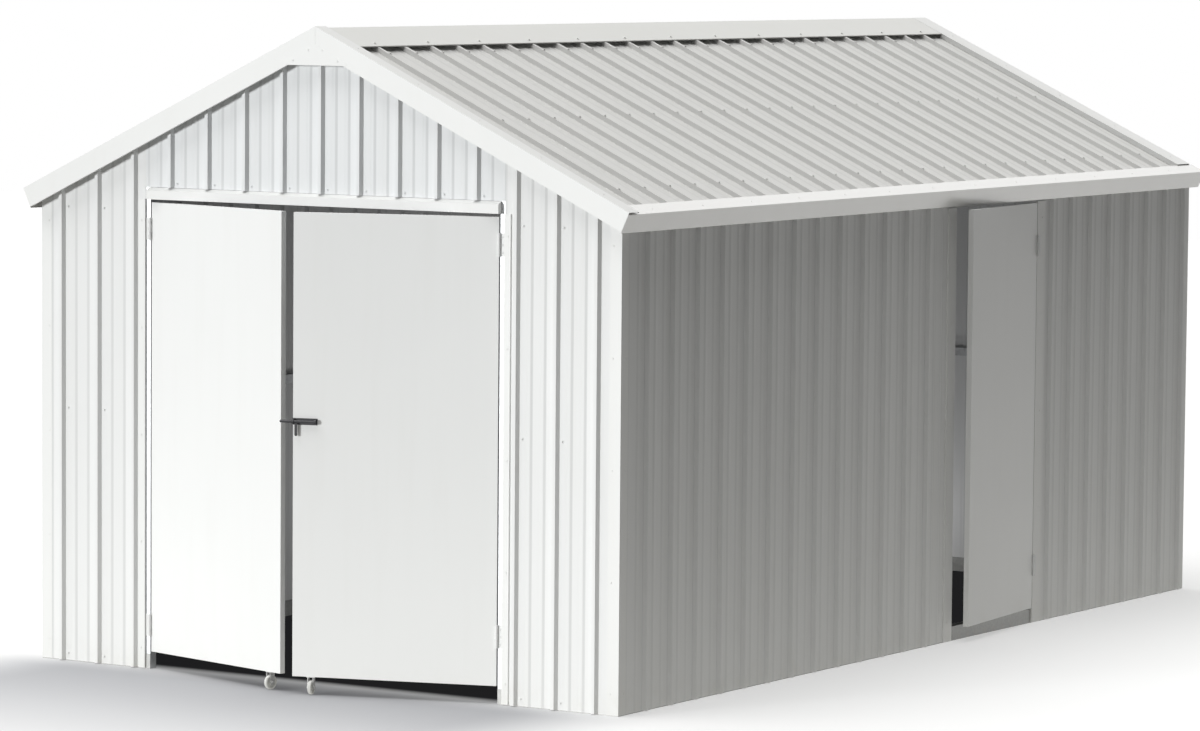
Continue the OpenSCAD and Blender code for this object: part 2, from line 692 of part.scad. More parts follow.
module caster_fork(x1) color(zinc) translate([x1 - caster_in, caster_y, 0]) {
    box([-fork_half - 6, -leaf_t / 2 + 1, leaf_z0 - fork_t], [fork_half + 6, leaf_t / 2 - 1, leaf_z0]);
    for (x = [-fork_half, fork_half - fork_t])
        along_x(x, x + fork_t) {
            translate([-fork_plate_w / 2, wheel_z])
                square([fork_plate_w, leaf_z0 - wheel_z - fork_t / 2]);
            translate([0, wheel_z]) circle(d = fork_plate_w);
        }
    translate([-fork_half, 0, wheel_z]) rotate([0, 90, 0]) cylinder(r = axle_r, h = 2 * fork_half);
}

// moulded wheel: hub, thin web and crowned tread turned about the axle
module caster_wheel(x1) color(wheel_grey) {
    hub_r = 9;
    rim_in = wheel_d / 2 - 8;
    half = wheel_w / 2;
    web = wheel_w / 5;
    bore = axle_r + run_clear;
    translate([x1 - caster_in, caster_y, wheel_z]) rotate([0, 90, 0]) rotate_extrude()
        polygon([[bore, -half], [hub_r, -half], [hub_r + 1, -web], [rim_in - 1, -web],
                 [rim_in, -half + 1], [wheel_d / 2 - 2.5, -half + 1], [wheel_d / 2, -half + 4],
                 [wheel_d / 2, half - 4], [wheel_d / 2 - 2.5, half - 1], [rim_in, half - 1],
                 [rim_in - 1, web], [hub_r + 1, web], [hub_r, half], [bore, half]]);
}

module left_caster_fork() at_left() caster_fork(leaf_x1);
module left_caster_wheel() at_left() caster_wheel(leaf_x1);
module right_caster_fork() at_right() caster_fork(right_leaf_x1);
module right_caster_wheel() at_right() caster_wheel(right_leaf_x1);

base_frame();
corner_posts();
door_posts();
wall_plates();
rafters();
purlins();
girts();
front_lintel();
front_wall_left();
front_wall_right();
front_gable();
left_wall();
right_wall_front();
right_wall_rear();
rear_wall();
front_corner_flashings();
rear_corner_flashings();
front_jambs();
door_head();
side_jambs();
side_door_head();
roof_left();
roof_right();
ridge_cap();
front_barge();
rear_barge();
apex_plate();
left_fascia();
right_fascia();
left_leaf();
left_leaf_rails();
left_hinge_flaps();
right_leaf();
right_leaf_rails();
right_hinge_flaps();
side_leaf();
side_leaf_rails();
side_hinge_flaps();
hinge_posts();
bolt_guide();
pad_bolt();
left_caster_fork();
left_caster_wheel();
right_caster_fork();
right_caster_wheel();
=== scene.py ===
import json
import math

import bmesh
import bpy
from mathutils import Matrix, Vector

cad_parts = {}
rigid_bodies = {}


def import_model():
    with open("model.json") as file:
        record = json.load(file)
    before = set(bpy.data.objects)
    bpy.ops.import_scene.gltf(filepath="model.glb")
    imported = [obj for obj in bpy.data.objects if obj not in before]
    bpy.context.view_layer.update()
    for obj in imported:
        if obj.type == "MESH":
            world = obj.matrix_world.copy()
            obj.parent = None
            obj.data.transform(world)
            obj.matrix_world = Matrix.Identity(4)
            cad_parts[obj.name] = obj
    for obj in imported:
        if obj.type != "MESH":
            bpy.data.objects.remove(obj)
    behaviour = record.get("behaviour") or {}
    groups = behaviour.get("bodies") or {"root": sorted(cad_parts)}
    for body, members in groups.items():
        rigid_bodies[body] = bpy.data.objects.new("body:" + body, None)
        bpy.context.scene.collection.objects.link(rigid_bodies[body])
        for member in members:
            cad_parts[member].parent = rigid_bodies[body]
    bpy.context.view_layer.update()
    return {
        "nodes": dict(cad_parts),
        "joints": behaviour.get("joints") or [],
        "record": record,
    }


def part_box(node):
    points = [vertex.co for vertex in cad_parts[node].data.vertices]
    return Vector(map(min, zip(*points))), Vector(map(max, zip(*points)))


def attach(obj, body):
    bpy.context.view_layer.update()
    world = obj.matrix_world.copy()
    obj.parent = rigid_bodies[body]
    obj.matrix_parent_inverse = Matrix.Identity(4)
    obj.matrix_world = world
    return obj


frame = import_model()
nodes = frame["nodes"]
print("loaded", len(nodes), "nodes of the garage")

sheeting = {
    "ribPitch": 0.198, "ribHeight": 0.018, "sheet": 0.0006,
    "firstSideRib": 0.198, "firstRoofRib": 0.184,  # from the front wall to the first rib
}
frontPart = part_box("right_wall_front")[1]  # the corner of the side wall next to its doorway
halfWidth = frontPart.x - sheeting["ribHeight"]
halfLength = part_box("rear_wall")[1].y - sheeting["ribHeight"]
sideRibStart = sheeting["firstSideRib"] - halfLength
roofRibStart = sheeting["firstRoofRib"] - halfLength


# shader maths: a socket that takes part in Python expressions
class Wire:
    def __init__(self, paint, socket):
        self.paint = paint
        self.socket = socket

    def math(self, kind, first, second=0.0):
        return self.paint.add("ShaderNodeMath", {"operation": kind}, {0: first, 1: second})

    def __add__(self, other): return self.math("ADD", self, other)
    def __radd__(self, other): return self.math("ADD", other, self)
    def __sub__(self, other): return self.math("SUBTRACT", self, other)
    def __rsub__(self, other): return self.math("SUBTRACT", other, self)
    def __mul__(self, other): return self.math("MULTIPLY", self, other)
    def __rmul__(self, other): return self.math("MULTIPLY", other, self)
    def __abs__(self): return self.math("ABSOLUTE", self)

    def atLeast(self, low): return self.math("MAXIMUM", self, low)
    def root(self): return self.math("SQRT", self)

    def smooth(self, low, high):  # 0 below low, 1 above high
        return self.paint.add("ShaderNodeMapRange", {"interpolation_type": "SMOOTHSTEP"},
                              {"Value": self, "From Min": low, "From Max": high})


class Paint:  # one procedural material
    def __init__(self, name):
        self.material = bpy.data.materials.new(name)
        self.material.use_nodes = True
        self.tree = self.material.node_tree
        self.tree.nodes.clear()
        output = self.tree.nodes.new("ShaderNodeOutputMaterial")
        self.shader = self.tree.nodes.new("ShaderNodeBsdfPrincipled")
        self.tree.links.new(self.shader.outputs[0], output.inputs["Surface"])
        place = self.tree.nodes.new("ShaderNodeTexCoord")
        self.place = Wire(self, place.outputs["Object"])

    def add(self, kind, settings=None, values=None, out=0):
        made = self.tree.nodes.new(kind)
        for key, value in (settings or {}).items():
            setattr(made, key, value)
        for key, value in (values or {}).items():
            self.feed(made.inputs[key], value)
        return Wire(self, made.outputs[out])

    def feed(self, socket, value):
        if isinstance(value, Wire):
            self.tree.links.new(value.socket, socket)
        elif socket.type == "RGBA":
            socket.default_value = (*value, 1.0)
        else:
            socket.default_value = value

    def axis(self, letter):
        return self.add("ShaderNodeSeparateXYZ", None, {0: self.place}, "XYZ".index(letter))

    def stretched(self, scale):  # object coordinates with a scale on each axis
        return self.add("ShaderNodeMapping", None, {"Vector": self.place, "Scale": scale})

    def noise(self, scale, detail=2.0, roughness=0.5, where=None):
        return self.add("ShaderNodeTexNoise", None, {
            "Vector": where or self.place, "Scale": scale, "Detail": detail, "Roughness": roughness})

    def cells(self, scale):
        colour = self.add("ShaderNodeTexVoronoi", None, {"Vector": self.place, "Scale": scale}, "Color")
        return self.add("ShaderNodeSeparateColor", None, {0: colour})

    def blend(self, amount, first, second):
        return self.add("ShaderNodeMix", {"data_type": "RGBA"}, {0: amount, 6: first, 7: second}, 2)

    def bump(self, height, strength, distance, before=None):
        values = {"Height": height, "Strength": strength, "Distance": distance}
        if before:
            values["Normal"] = before
        return self.add("ShaderNodeBump", None, values)

    def finish(self, sockets):
        for key, value in sockets.items():
            self.feed(self.shader.inputs[key], value)
        return self.material


def darker(colour, share):
    return tuple(channel * (1.0 - share) for channel in colour)


# coil-coated sheet; patterns are in bumps or patches to the metre, shares go from 0 to 1
coilCoat = {
    "roughness": 0.42, "cloudRoughness": 0.08, "splashRoughness": 0.3, "coatRoughness": 0.2,
    "peel": 900.0, "peelStrength": 0.08, "peelDepth": 0.0002,  # orange peel
    "canning": 2.2, "canningStretch": (1.0, 1.0, 0.35), "canningDepth": 0.004,  # soft waves of the thin sheet
    "cloud": 0.9, "cloudRange": (0.3, 0.7), "cloudShare": 0.6, "cloudDarker": 0.03,
    "runs": (14.0, 14.0, 0.9),  # rain runs: narrow across, long down
    "runRange": (0.45, 0.8), "runShare": 0.22,
    "speck": 140.0, "speckRange": (0.6, 0.8), "speckShare": 0.08,
    "dustTint": (0.74, 0.73, 0.69),
    "splashHeight": 0.22,  # metres of faint splash-back above the ground
    "splash": 9.0, "splashRange": (0.35, 0.75), "splashMask": 0.6, "splashShare": 0.6,
    "splashTint": (0.76, 0.75, 0.71),
    "foldShade": 0.14,
}
coilColours = {
    "wall": (0.860, 0.865, 0.865),
    # the gable is the walls' sheet, coloured a little darker and cooler: painted shade
    "gable": (0.845, 0.858, 0.868),
    "trim": (0.850, 0.853, 0.845),
    # the fascia is coloured lighter and warmer than the other flashings: painted light on its face that looks
    # down
    "fascia": (0.890, 0.885, 0.865),
    "roof": (0.712, 0.710, 0.697),
    "ridge": (0.780, 0.782, 0.760),
    "leaf": (0.920, 0.925, 0.922),
    "hinge": (0.820, 0.825, 0.825),
}

# thin darker lines coloured into the folds of the ribbed sheets, in place of shading the folds
# don't get: rib and swage give the strength of the line beside each rib and each swage, ribSide
# and swageSide its distance from the middle
folds = {
    "front": {"axis": "X", "start": 0.0,
              "rib": 0.0, "ribSide": 0.014, "swage": 1.0, "swageSide": 0.010},
    "side": {"axis": "Y", "start": sideRibStart,
             "rib": 0.6, "ribSide": -0.014, "swage": 0.45, "swageSide": -0.009},
    "roof": {"axis": "Y", "start": roofRibStart,
             "rib": 0.6, "ribSide": -0.014, "swage": 0.4, "swageSide": -0.010},
}
foldWidth = (0.003, 0.009)  # full strength up to the first distance, none past the second
besideRibs = (0.022, 0.032)  # the swages' lines fade out this near to a rib


def lineMask(along, middle, spacing):  # one line at each spacing
    away = along.math("PINGPONG", along - middle, spacing / 2)
    return 1.0 - away.smooth(*foldWidth)


def foldMasks(paint, fold):
    along = paint.axis(fold["axis"])
    spacing = sheeting["ribPitch"]
    fromRib = along.math("PINGPONG", along - fold["start"], spacing / 2)
    ribs = lineMask(along, fold["start"] + fold["ribSide"], spacing)
    swages = lineMask(along, fold["start"] + fold["swageSide"], spacing / 3) * fromRib.smooth(*besideRibs)
    return ribs * fold["rib"], swages * fold["swage"]


def makeCoilCoat(name, colour, waves=0.3, dust=0.5, gloss=0.5, coat=0.0, coatIor=1.5, fold=None):
    paint = Paint(name)
    look = coilCoat
    runs = paint.noise(1.0, detail=3.0, roughness=0.55, where=paint.stretched(look["runs"]))
    cloud = paint.noise(look["cloud"], detail=3.0, roughness=0.6)
    speck = paint.noise(look["speck"], detail=2.0, roughness=0.6)
    low = 1.0 - paint.axis("Z").smooth(0.0, look["splashHeight"])
    patches = paint.noise(look["splash"], detail=4.0, roughness=0.65)
    splashMask = low * low * patches.smooth(*look["splashRange"]) * look["splashMask"]
    dustMask = (runs.smooth(*look["runRange"]) * look["runShare"]
                + speck.smooth(*look["speckRange"]) * look["speckShare"]) * dust
    cloudMask = cloud.smooth(*look["cloudRange"]) * look["cloudShare"]
    base = paint.blend(cloudMask, colour, darker(colour, look["cloudDarker"]))
    base = paint.blend(dustMask, base, look["dustTint"])
    base = paint.blend(splashMask * look["splashShare"], base, look["splashTint"])
    # painted shade: darker lines beside the ribs and the swages of the ribbed sheets
    for mask in foldMasks(paint, folds[fold]) if fold else ():
        base = paint.blend(mask, base, darker(colour, look["foldShade"]))
    flat = paint.stretched(look["canningStretch"])
    wave = paint.noise(look["canning"], detail=1.0, roughness=0.4, where=flat)
    normal = paint.bump(wave, waves, look["canningDepth"])
    peel = paint.noise(look["peel"], detail=1.0)
    normal = paint.bump(peel, look["peelStrength"], look["peelDepth"], normal)
    rough = look["roughness"] + cloud * look["cloudRoughness"] - look["cloudRoughness"] / 2
    rough = rough + splashMask * look["splashRoughness"]
    return paint.finish({
        "Base Color": base, "Roughness": rough, "Normal": normal,
        "Specular IOR Level": gloss, "Coat Weight": coat, "Coat Roughness": look["coatRoughness"],
        "Coat IOR": coatIor})


galvanised = {
    "frame": {"bright": (0.62, 0.63, 0.64), "dull": (0.50, 0.51, 0.52), "spangle": 70.0, "metallic": 0.8},
    "track": {"bright": (0.36, 0.36, 0.35), "dull": (0.30, 0.30, 0.29), "spangle": 90.0, "metallic": 0.7},
    "hardware": {"bright": (0.72, 0.72, 0.71), "dull": (0.54, 0.54, 0.53), "spangle": 240.0, "metallic": 0.7},
    "cellShare": 0.6, "cloudShare": 0.5, "mixRange": (0.2, 0.9), "cloud": 6.0,
    "roughness": 0.34, "cellRoughness": 0.18, "cloudRoughness": 0.08,
    "scratches": (40.0, 40.0, 900.0), "scratchStrength": 0.1, "scratchDepth": 0.0002,
}


def makeGalvanised(name, look):
    paint = Paint(name)
    zinc = galvanised
    cell = paint.cells(look["spangle"])
    cloud = paint.noise(zinc["cloud"], detail=4.0, roughness=0.6)
    mix = cell * zinc["cellShare"] + cloud * zinc["cloudShare"]
    base = paint.blend(mix.smooth(*zinc["mixRange"]), look["dull"], look["bright"])
    scratch = paint.noise(1.0, where=paint.stretched(zinc["scratches"]))
    normal = paint.bump(scratch, zinc["scratchStrength"], zinc["scratchDepth"])
    rough = zinc["roughness"] + cell * zinc["cellRoughness"] + cloud * zinc["cloudRoughness"]
    return paint.finish({"Base Color": base, "Roughness": rough, "Metallic": look["metallic"],
                         "Normal": normal})


blackSteel = {
    "colour": (0.018, 0.018, 0.022), "roughness": 0.38,
    "worn": (0.07, 0.07, 0.075), "wear": 60.0, "wearRange": (0.62, 0.8),
    "wearShare": 0.5, "wearRoughness": 0.2,
    "grain": 500.0, "grainStrength": 0.25, "grainDepth": 0.0003,
}


def makeBlackSteel(name):
    paint = Paint(name)
    look = blackSteel
    wear = paint.noise(look["wear"], detail=4.0, roughness=0.7).smooth(*look["wearRange"])
    base = paint.blend(wear * look["wearShare"], look["colour"], look["worn"])
    grain = paint.noise(look["grain"], detail=2.0, roughness=0.6)
    return paint.finish({
        "Base Color": base, "Roughness": look["roughness"] + wear * look["wearRoughness"],
        "Normal": paint.bump(grain, look["grainStrength"], look["grainDepth"])})


wheelNylon = {
    "colour": (0.70, 0.70, 0.68), "roughness": 0.55,
    "dirt": (0.50, 0.49, 0.46), "dirtPatches": 45.0, "dirtRange": (0.5, 0.8), "dirtShare": 0.5,
    "scuff": 160.0, "scuffRoughness": 0.15, "scuffStrength": 0.3, "scuffDepth": 0.0004,
}


def makeWheelNylon(name):
    paint = Paint(name)
    look = wheelNylon
    scuff = paint.noise(look["scuff"], detail=3.0, roughness=0.7)
    dirt = paint.noise(look["dirtPatches"], detail=4.0, roughness=0.65).smooth(*look["dirtRange"])
    base = paint.blend(dirt * look["dirtShare"], look["colour"], look["dirt"])
    return paint.finish({
        "Base Color": base, "Roughness": look["roughness"] + scuff * look["scuffRoughness"],
        "Normal": paint.bump(scuff, look["scuffStrength"], look["scuffDepth"])})


wallCoat = makeCoilCoat("wallCoat", coilColours["wall"], gloss=0.3, fold="side")
endCoat = makeCoilCoat("endCoat", coilColours["wall"], gloss=0.3, fold="front")
# the gable's coat carries the painted shade in its colour
gableCoat = makeCoilCoat("gableCoat", coilColours["gable"], gloss=0.3, fold="front")
trimCoat = makeCoilCoat("trimCoat", coilColours["trim"], waves=0.2)
# the lighter colour and a stronger clear coat brighten the fascia's downward face: painted light
fasciaCoat = makeCoilCoat("fasciaCoat", coilColours["fascia"], waves=0.2, coat=1.0, coatIor=2.1)
roofCoat = makeCoilCoat("roofCoat", coilColours["roof"], dust=0.9, fold="roof")
ridgeCoat = makeCoilCoat("ridgeCoat", coilColours["ridge"], dust=0.9)
leafCoat = makeCoilCoat("leafCoat", coilColours["leaf"], waves=0.35, dust=0.35)
hingeCoat = makeCoilCoat("hingeCoat", coilColours["hinge"], waves=0.0)
frameZinc = makeGalvanised("frameZinc", galvanised["frame"])
trackZinc = makeGalvanised("trackZinc", galvanised["track"])
hardwareZinc = makeGalvanised("hardwareZinc", galvanised["hardware"])
boltBlack = makeBlackSteel("boltBlack")
wheelGrey = makeWheelNylon("wheelGrey")

slotCoat = {
    "white_sheet": wallCoat, "white_trim": trimCoat, "roof_sheet": roofCoat,
    "leaf_paint": leafCoat, "frame_steel": frameZinc, "zinc_hardware": hardwareZinc,
    "black_steel": boltBlack, "wheel_grey": wheelGrey,
}
ownCoat = {
    "front_wall_left": endCoat, "front_wall_right": endCoat, "rear_wall": endCoat,
    "front_gable": gableCoat, "ridge_cap": ridgeCoat, "left_fascia": fasciaCoat, "right_fascia": fasciaCoat,
    "hinge_posts": hingeCoat, "left_hinge_flaps": hingeCoat, "right_hinge_flaps": hingeCoat,
    "side_hinge_flaps": hingeCoat, "base_frame": trackZinc,
}
for part in frame["record"]["subparts"]:
    name = part["node"]
    nodes[name].data.materials.clear()
    nodes[name].data.materials.append(ownCoat.get(name, slotCoat[part["material_slot"]]))
print("coated the nodes")


def clearSelection():
    for other in bpy.context.view_layer.objects.selected[:]:
        other.select_set(False)


def editFaces(choose):  # selects the faces that choose(face) accepts
    mesh = bmesh.from_edit_mesh(bpy.context.object.data)
    bpy.ops.mesh.select_all(action="DESELECT")
    bpy.ops.mesh.select_mode(type="FACE")
    for face in mesh.faces:
        face.select_set(choose(face))
    bmesh.update_edit_mesh(bpy.context.object.data)


def facesUp(face):
    return face.normal.z > 0.99


def addDrum(vertices, radius, low, high):  # a closed cylinder on the Z axis, left in edit mode
    clearSelection()
    bpy.ops.mesh.primitive_cylinder_add(vertices=vertices, radius=radius, depth=high - low,
                                        location=(0, 0, (low + high) / 2))
    bpy.ops.object.transform_apply(location=True, rotation=False, scale=False)
    bpy.ops.object.mode_set(mode="EDIT")
    editFaces(facesUp)
    return bpy.context.object


# heads of screws, rivets and bolts, each modelled once with its seat at z = 0
hexHeads = {
    "sheetScrew": {"head": 0.0042, "rise": 0.0040, "washer": 0.0075, "thick": 0.0012},
    "anchorBolt": {"head": 0.0100, "rise": 0.0080, "washer": 0.0130, "thick": 0.0025},
    "axleNut": {"head": 0.0065, "rise": 0.0045, "washer": 0.0080, "thick": 0.0010},
}
roundHeads = {
    "rivet": {"radius": 0.0042, "rise": 0.0016, "recess": 0.25},
    "panScrew": {"radius": 0.0045, "rise": 0.0020, "recess": 0.45},
}
smoothAngle = 35.0  # edges of the heads that are flatter than this are smoothed
headShape = {  # sides, and shares of the head's own sizes
    "washerSides": 14, "hexSides": 6, "roundSides": 10,
    "washerDish": 0.8, "hexEdge": 0.14, "crown": 0.7, "recessDepth": 0.3,
}


def makeHexHead(name):  # a bevelled hexagon on a round washer
    size = hexHeads[name]
    washer = addDrum(headShape["washerSides"], size["washer"], 0.0, size["thick"])
    bpy.ops.mesh.inset(thickness=(size["washer"] - size["head"]) * headShape["washerDish"])
    bpy.ops.object.mode_set(mode="OBJECT")
    head = addDrum(headShape["hexSides"], size["head"], size["thick"], size["thick"] + size["rise"])
    bpy.ops.mesh.bevel(offset=size["head"] * headShape["hexEdge"], segments=1, affect="EDGES")
    bpy.ops.object.mode_set(mode="OBJECT")
    washer.select_set(True)
    bpy.ops.object.join()
    head.name = name
    return head


def makeRoundHead(name):  # a domed head with a recess in its crown
    size = roundHeads[name]
    head = addDrum(headShape["roundSides"], size["radius"], 0.0, size["rise"])
    bpy.ops.mesh.bevel(offset=size["rise"] * headShape["crown"], segments=2, affect="EDGES")
    editFaces(facesUp)
    bpy.ops.mesh.inset(thickness=size["radius"] * size["recess"],
                       depth=-size["rise"] * headShape["recessDepth"])
    bpy.ops.object.mode_set(mode="OBJECT")
    head.name = name
    return head


patterns = {name: makeHexHead(name) for name in hexHeads}
patterns.update({name: makeRoundHead(name) for name in roundHeads})


def turnTo(normal):
    return Vector(normal).to_track_quat("Z", "Y").to_matrix().to_4x4()


# places is a list of (seat, direction the head points)
def placeHeads(kind, places, name, body, coat):
    clearSelection()
    for seat, normal in places:
        head = patterns[kind].copy()
        head.data = patterns[kind].data.copy()
        bpy.context.scene.collection.objects.link(head)
        head.matrix_world = Matrix.Translation(seat) @ turnTo(normal)
        head.select_set(True)
        bpy.context.view_layer.objects.active = head
    bpy.ops.object.join()
    bpy.ops.object.transform_apply(location=True, rotation=True, scale=True)
    joined = bpy.context.object
    joined.name = name
    joined.data.materials.clear()
    joined.data.materials.append(coat)
    bpy.ops.object.shade_smooth_by_angle(angle=math.radians(smoothAngle))
    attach(joined, body)


def ribsBetween(first, last, start):
    step = sheeting["ribPitch"]
    number = math.ceil((first - start) / step)
    found = []
    while start + number * step <= last:
        found.append(start + number * step)
        number += 1
    return found


def spread(first, last, spacing):  # evenly spaced places from first to last
    count = max(1, round(abs(last - first) / spacing))
    return [first + (last - first) * number / count for number in range(count + 1)]


# screws of the walls: one beside each rib, on the track, the girts and the plates
wallScrews = {
    "besideRib": 0.030, "rows": (0.033, 1.115, 1.995), "gableRow": 2.112,
    "cornerClear": 0.10, "beforeSideDoor": 0.12, "behindSideDoor": 0.08,
    "rearSpan": (-1.39, 1.3), "frontSpan": (-1.40, 1.35),
    "besideFrontDoor": 0.98, "overFrontDoor": 0.9,
}


def sideScrews(side, spans):
    places = []
    for first, last in spans:
        for y in ribsBetween(first, last, sideRibStart):
            places += [((side * halfWidth, y + wallScrews["besideRib"], z), (side, 0, 0))
                       for z in wallScrews["rows"]]
    return places


def endScrews(end, centres, rows):
    y = end * halfLength
    return [((x + wallScrews["besideRib"], y, z), (0, end, 0)) for x in centres for z in rows]


sideEnd = halfLength - wallScrews["cornerClear"]
doorFront = frontPart.y - wallScrews["beforeSideDoor"]
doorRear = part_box("right_wall_rear")[0].y + wallScrews["behindSideDoor"]
rearRibs = ribsBetween(*wallScrews["rearSpan"], 0.0)
frontRibs = ribsBetween(*wallScrews["frontSpan"], 0.0)
placeHeads("sheetScrew", sideScrews(-1, [(-sideEnd, sideEnd)]),
           "leftWallScrews", "building", wallCoat)
placeHeads("sheetScrew", sideScrews(1, [(-sideEnd, doorFront), (doorRear, sideEnd)]),
           "rightWallScrews", "building", wallCoat)
placeHeads("sheetScrew", endScrews(1, rearRibs, wallScrews["rows"]),
           "rearWallScrews", "building", wallCoat)
besideDoor = [x for x in frontRibs if abs(x) > wallScrews["besideFrontDoor"]]
placeHeads("sheetScrew", endScrews(-1, besideDoor, wallScrews["rows"]),
           "frontWallScrews", "building", wallCoat)
overDoor = [x for x in frontRibs if abs(x) < wallScrews["overFrontDoor"]]
placeHeads("sheetScrew", endScrews(-1, overDoor, (wallScrews["gableRow"],)),
           "gableScrews", "building", gableCoat)

# the roof, measured down the slope from the peak
roofing = {
    "pitch": 25.0, "eaveOut": 0.060, "crest": sheeting["sheet"] + sheeting["ribHeight"],
    "ribSpan": (-2.52, 2.50), "purlins": (0.235, 0.865, 1.50),
    "capRise": 0.0048, "capScrew": 0.145,
    "flange": 0.0008, "flangeLift": 0.00002, "flangeRivet": 0.035,
}
pitch = math.radians(roofing["pitch"])
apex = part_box("rear_wall")[1].z
eaveDistance = (halfWidth + roofing["eaveOut"] - roofing["crest"] * math.sin(pitch)) / math.cos(pitch)


def onSlope(side, along, y, lift):  # a point this far down the slope, lifted off the pans
    x = along * math.cos(pitch) + lift * math.sin(pitch)
    z = apex - along * math.sin(pitch) + lift * math.cos(pitch)
    return (side * x, y, z)


def upFrom(side):
    return (side * math.sin(pitch), 0, math.cos(pitch))


ribs = ribsBetween(*roofing["ribSpan"], roofRibStart)
capTop = roofing["crest"] + roofing["capRise"]
flangeTop = roofing["crest"] + roofing["flange"] + roofing["flangeLift"]
flangeMiddle = eaveDistance - roofing["flangeRivet"]
for side, word in ((-1, "left"), (1, "right")):
    up = upFrom(side)
    places = [(onSlope(side, along, y, roofing["crest"]), up) for y in ribs for along in roofing["purlins"]]
    placeHeads("sheetScrew", places, word + "RoofScrews", "building", roofCoat)
    places = [(onSlope(side, roofing["capScrew"], y, capTop), up) for y in ribs[::2]]
    placeHeads("sheetScrew", places, word + "RidgeScrews", "building", ridgeCoat)
    places = [(onSlope(side, flangeMiddle, y, flangeTop), up) for y in ribs[::2]]
    placeHeads("rivet", places, word + "FasciaRivets", "building", fasciaCoat)
print("placed the screws of the walls and the roof")

# rivets of the flashings; each row is (first, last, spacing)
flashings = {
    "thick": 0.0008,
    "cornerInset": 0.040, "cornerRow": (0.09, 1.93, 0.42),
    "jambInset": 0.012, "jambOut": 0.0078, "jambRow": (0.09, 1.95, 0.46),
    "sideInset": 0.028, "sideRow": (0.09, 1.90, 0.46),
    "bargeTop": 0.0294, "bargeIn": 0.040, "bargeRow": (0.20, 1.55, 0.34),
    "rearTop": 0.0244, "rearIn": 0.060,
    "apexPlate": ((0.035, 2.700), (0.115, 2.655)),
}
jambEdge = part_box("front_jambs")[1].x
sideJambLow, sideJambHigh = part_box("side_jambs")
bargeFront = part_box("front_barge")[0].y
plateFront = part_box("apex_plate")[0].y
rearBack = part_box("rear_barge")[1].y


def cornerRivets(end):
    inset = flashings["cornerInset"]
    thick = flashings["thick"]
    places = []
    for side in (-1, 1):
        for z in spread(*flashings["cornerRow"]):
            places.append(((side * (halfWidth - inset), end * (halfLength + thick), z), (0, end, 0)))
            places.append(((side * (halfWidth + thick), end * (halfLength - inset), z), (side, 0, 0)))
    return places


def jambRivets():
    out = flashings["jambOut"]
    places = []
    for side in (-1, 1):
        x = side * (jambEdge - flashings["jambInset"])
        places += [((x, -halfLength - out, z), (0, -1, 0)) for z in spread(*flashings["jambRow"])]
    for y in (sideJambLow.y + flashings["sideInset"], sideJambHigh.y - flashings["sideInset"]):
        places += [((halfWidth + out, y, z), (1, 0, 0)) for z in spread(*flashings["sideRow"])]
    return places


def bargeRivets():
    places = []
    for side in (-1, 1):
        for along in spread(*flashings["bargeRow"]):
            front = onSlope(side, along, bargeFront + flashings["bargeIn"], flashings["bargeTop"])
            rear = onSlope(side, along, rearBack - flashings["rearIn"], flashings["rearTop"])
            places += [(front, upFrom(side)), (rear, upFrom(side))]
        for x, z in flashings["apexPlate"]:
            places.append(((side * x, plateFront, z), (0, -1, 0)))
    return places


placeHeads("rivet", cornerRivets(-1) + cornerRivets(1), "cornerRivets", "building", trimCoat)
placeHeads("rivet", jambRivets(), "jambRivets", "building", trimCoat)
placeHeads("rivet", bargeRivets(), "bargeRivets", "building", trimCoat)
print("riveted the flashings")

# fixings on the leaves, placed from each hinge's axis
leaves = {
    "left": {"joint": "left_door_hinge", "shut": (1, 0), "back": (0, 1), "body": "left_door"},
    "right": {"joint": "right_door_hinge", "shut": (-1, 0), "back": (0, 1), "body": "right_door"},
    "side": {"joint": "side_door_hinge", "shut": (0, -1), "back": (-1, 0), "body": "side_door"},
}
rails = {
    "brimFace": 0.0093, "inset": 0.040, "height": 0.060, "brim": 0.0075,
    "endInset": 0.035, "spacing": 0.2,
}
joints = {joint["name"]: joint for joint in frame["joints"]}
for word, leaf in leaves.items():
    joint = joints[leaf["joint"]]
    ajar = Matrix.Rotation(-math.radians(joint["range_deg"][0]) * joint["axis"][2], 3, "Z")
    leaf["origin"] = Vector((joint["pos_m"][0], joint["pos_m"][1], 0))
    leaf["along"] = ajar @ Vector((*leaf["shut"], 0))
    leaf["inward"] = ajar @ Vector((*leaf["back"], 0))
    leaf["low"], leaf["high"] = (corner.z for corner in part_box(word + "_leaf"))
    edge = [vertex.co - leaf["origin"] for vertex in nodes[word + "_leaf"].data.vertices]
    leaf["free"] = max(point.dot(leaf["along"]) for point in edge)


def onLeaf(word, along, inward, z):
    leaf = leaves[word]
    return leaf["origin"] + leaf["along"] * along + leaf["inward"] * inward + Vector((0, 0, z))


def railRivets(word):  # pairs on the brims of the three rails behind the skin
    leaf = leaves[word]
    tall = rails["height"]
    starts = (leaf["low"] + rails["inset"], (leaf["low"] + leaf["high"] - tall) / 2,
              leaf["high"] - rails["inset"] - tall)
    heights = [z for start in starts for z in (start - rails["brim"], start + tall + rails["brim"])]
    lengths = spread(rails["endInset"], leaf["free"] - rails["endInset"], rails["spacing"])
    return [(onLeaf(word, along, rails["brimFace"], z), leaf["inward"])
            for z in heights for along in lengths]


for word in leaves:
    placeHeads("rivet", railRivets(word), word + "RailRivets", leaves[word]["body"], frameZinc)

hinges = {
    "half": 0.048, "screws": (-0.032, 0.0, 0.032),
    "frontFlap": -0.014, "sideFlap": -0.018, "flapFace": 0.0055,
}


